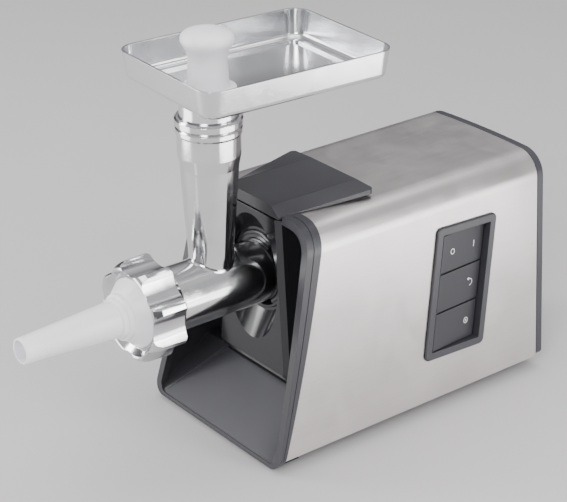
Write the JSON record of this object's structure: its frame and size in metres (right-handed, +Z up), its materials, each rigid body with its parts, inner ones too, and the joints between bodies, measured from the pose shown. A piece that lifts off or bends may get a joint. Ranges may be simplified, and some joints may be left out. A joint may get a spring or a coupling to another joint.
{
  "type": "electric meat grinder",
  "caption": "Countertop electric meat grinder: brushed steel housing, bayonet grinding head with auger, knife and plate, scalloped ring nut, sausage filler, feed tray, pusher and switch panel.",
  "frame": {"origin": "centre of the whole object's footprint, on the surface that the feet stand on", "axes": "+Z up; -Y is the direction in which the meat leaves; the switch panel is on the +X side; x = 0 is the plane of the barrel and the feed tube"},
  "size_m": [0.1662, 0.46, 0.3425],
  "materials": {
    "steel_skin": "brushed along the housing, satin",
    "frame_plastic": "moulded, slightly satin slate grey",
    "column_gloss": "high gloss dark grey",
    "hood_plastic": "satin charcoal",
    "base_plastic": "plain moulded black",
    "foot_rubber": "matt",
    "screw_steel": "zinc plated",
    "black_plastic": "moulded black",
    "brass_parts": "plain",
    "bezel_plastic": "satin slate grey",
    "key_plastic": "satin slate grey",
    "machined_steel": "ground steel",
    "socket_plastic": "glossy black",
    "polished_aluminium": "polished casting",
    "cast_aluminium": "as cast, satin",
    "tray_aluminium": "polished pressed sheet",
    "white_plastic": "milky white, slightly translucent",
    "gear_nylon": "natural nylon",
    "gearbox_plastic": "glass filled",
    "laminated_iron": "stacked laminations",
    "copper_wire": null,
    "carbon_block": null,
    "board_green": "circuit board"
  },
  "bodies": {
    "housing": {"steel_wrap": "steel_skin", "front_frame": "frame_plastic", "front_column": "column_gloss", "top_hood": "hood_plastic", "base_plate": "base_plastic", "rubber_feet": "foot_rubber", "base_screws": "screw_steel", "rear_cover": "frame_plastic", "rear_screws": "screw_steel", "mains_inlet": "black_plastic", "inlet_pins": "brass_parts", "switch_bezel": "bezel_plastic", "key_pins": "machined_steel", "power_switch": "black_plastic", "reverse_switch": "black_plastic", "reset_breaker": "black_plastic", "switch_bracket": "black_plastic", "head_socket": "socket_plastic", "shaft_seal": "foot_rubber", "output_bearing": "machined_steel", "output_bush": "brass_parts", "idler_pins": "machined_steel", "gearbox_case": "gearbox_plastic", "gearbox_cover": "gearbox_plastic", "gearbox_screws": "screw_steel", "stator_core": "laminated_iron", "field_coils": "copper_wire", "motor_front_bracket": "cast_aluminium", "motor_rear_bracket": "cast_aluminium", "rotor_bearings": "machined_steel", "motor_bolts": "screw_steel", "brush_holders": "black_plastic", "carbon_brushes": "carbon_block", "motor_mounts": "foot_rubber", "circuit_board": "board_green", "board_posts": "screw_steel", "board_parts": "black_plastic"},
    "head": {"head_casting": "polished_aluminium", "grinder_plate": "machined_steel"},
    "nut": {"ring_nut": "polished_aluminium"},
    "filler": {"sausage_tube": "white_plastic"},
    "hopper": {"tray": "tray_aluminium"},
    "pusher": {"pusher": "white_plastic"},
    "drive": {"output_gear": "gear_nylon", "output_shaft": "machined_steel", "auger": "cast_aluminium", "knife": "machined_steel"},
    "idler_one": {"idler_gear_one": "gear_nylon"},
    "idler_two": {"idler_gear_two": "gear_nylon"},
    "rotor": {"motor_pinion": "machined_steel", "rotor_shaft": "machined_steel", "rotor_core": "laminated_iron", "rotor_windings": "copper_wire", "commutator": "copper_wire", "motor_fan": "gear_nylon"},
    "power_key": {"power_rocker": "key_plastic"},
    "reverse_button": {"reverse_key": "key_plastic"},
    "reset_button": {"reset_key": "key_plastic"}
  },
  "joints": [
    {"name": "head_turn", "type": "hinge", "parent": "housing", "child": "head", "pos_m": [0, 0, 0.1345], "axis": [0, 1, 0], "range_deg": [0, 45]},
    {"name": "filler_slide", "type": "slide", "parent": "head", "child": "filler", "axis": [0, -1, 0], "range_m": [0, 0.021]},
    {"name": "nut_unscrew", "type": "hinge", "parent": "filler", "child": "nut", "pos_m": [0, -0.12, 0.1345], "axis": [0, -1, 0], "range_deg": [0, 1260]},
    {"name": "tray_lift", "type": "slide", "parent": "head", "child": "hopper", "axis": [0, 0, 1], "range_m": [0, 0.06]},
    {"name": "pusher_lift", "type": "slide", "parent": "hopper", "child": "pusher", "axis": [0, 0, 1], "range_m": [0, 0.11]},
    {"name": "drive_spin", "type": "hinge", "parent": "housing", "child": "drive", "pos_m": [0, 0, 0.1345], "axis": [0, 1, 0], "continuous": true},
    {"name": "idler_two_spin", "type": "hinge", "parent": "housing", "child": "idler_two", "pos_m": [-0.01915, 0, 0.08188], "axis": [0, 1, 0], "continuous": true},
    {"name": "idler_one_spin", "type": "hinge", "parent": "housing", "child": "idler_one", "pos_m": [0.02812, 0, 0.07354], "axis": [0, 1, 0], "continuous": true},
    {"name": "motor_spin", "type": "hinge", "parent": "housing", "child": "rotor", "pos_m": [-0.00571, 0, 0.06123], "axis": [0, 1, 0], "continuous": true},
    {"name": "power_rock", "type": "hinge", "parent": "housing", "child": "power_key", "pos_m": [0.07009, 0.13856, 0.13554], "axis": [0.0701, -0.1464, -0.9867], "range_deg": [0, 9]},
    {"name": "reverse_press", "type": "hinge", "parent": "housing", "child": "reverse_button", "pos_m": [0.0747, 0.11181, 0.10624], "axis": [-0.0701, 0.1464, 0.9867], "range_deg": [0, 3], "stiffness_Nm_per_rad": 0.2, "springref_deg": -3.44},
    {"name": "reset_press", "type": "hinge", "parent": "housing", "child": "reset_button", "pos_m": [0.07702, 0.10696, 0.07352], "axis": [-0.0701, 0.1464, 0.9867], "range_deg": [0, 3], "stiffness_Nm_per_rad": 0.2, "springref_deg": -3.44}
  ],
  "couplings": [
    {"joint": "filler_slide", "follows": "nut_unscrew", "m_per_rad": 0.00095493},
    {"joint": "idler_two_spin", "follows": "drive_spin", "ratio": -3},
    {"joint": "idler_one_spin", "follows": "drive_spin", "ratio": 10.714},
    {"joint": "motor_spin", "follows": "drive_spin", "ratio": -44.388}
  ]
}
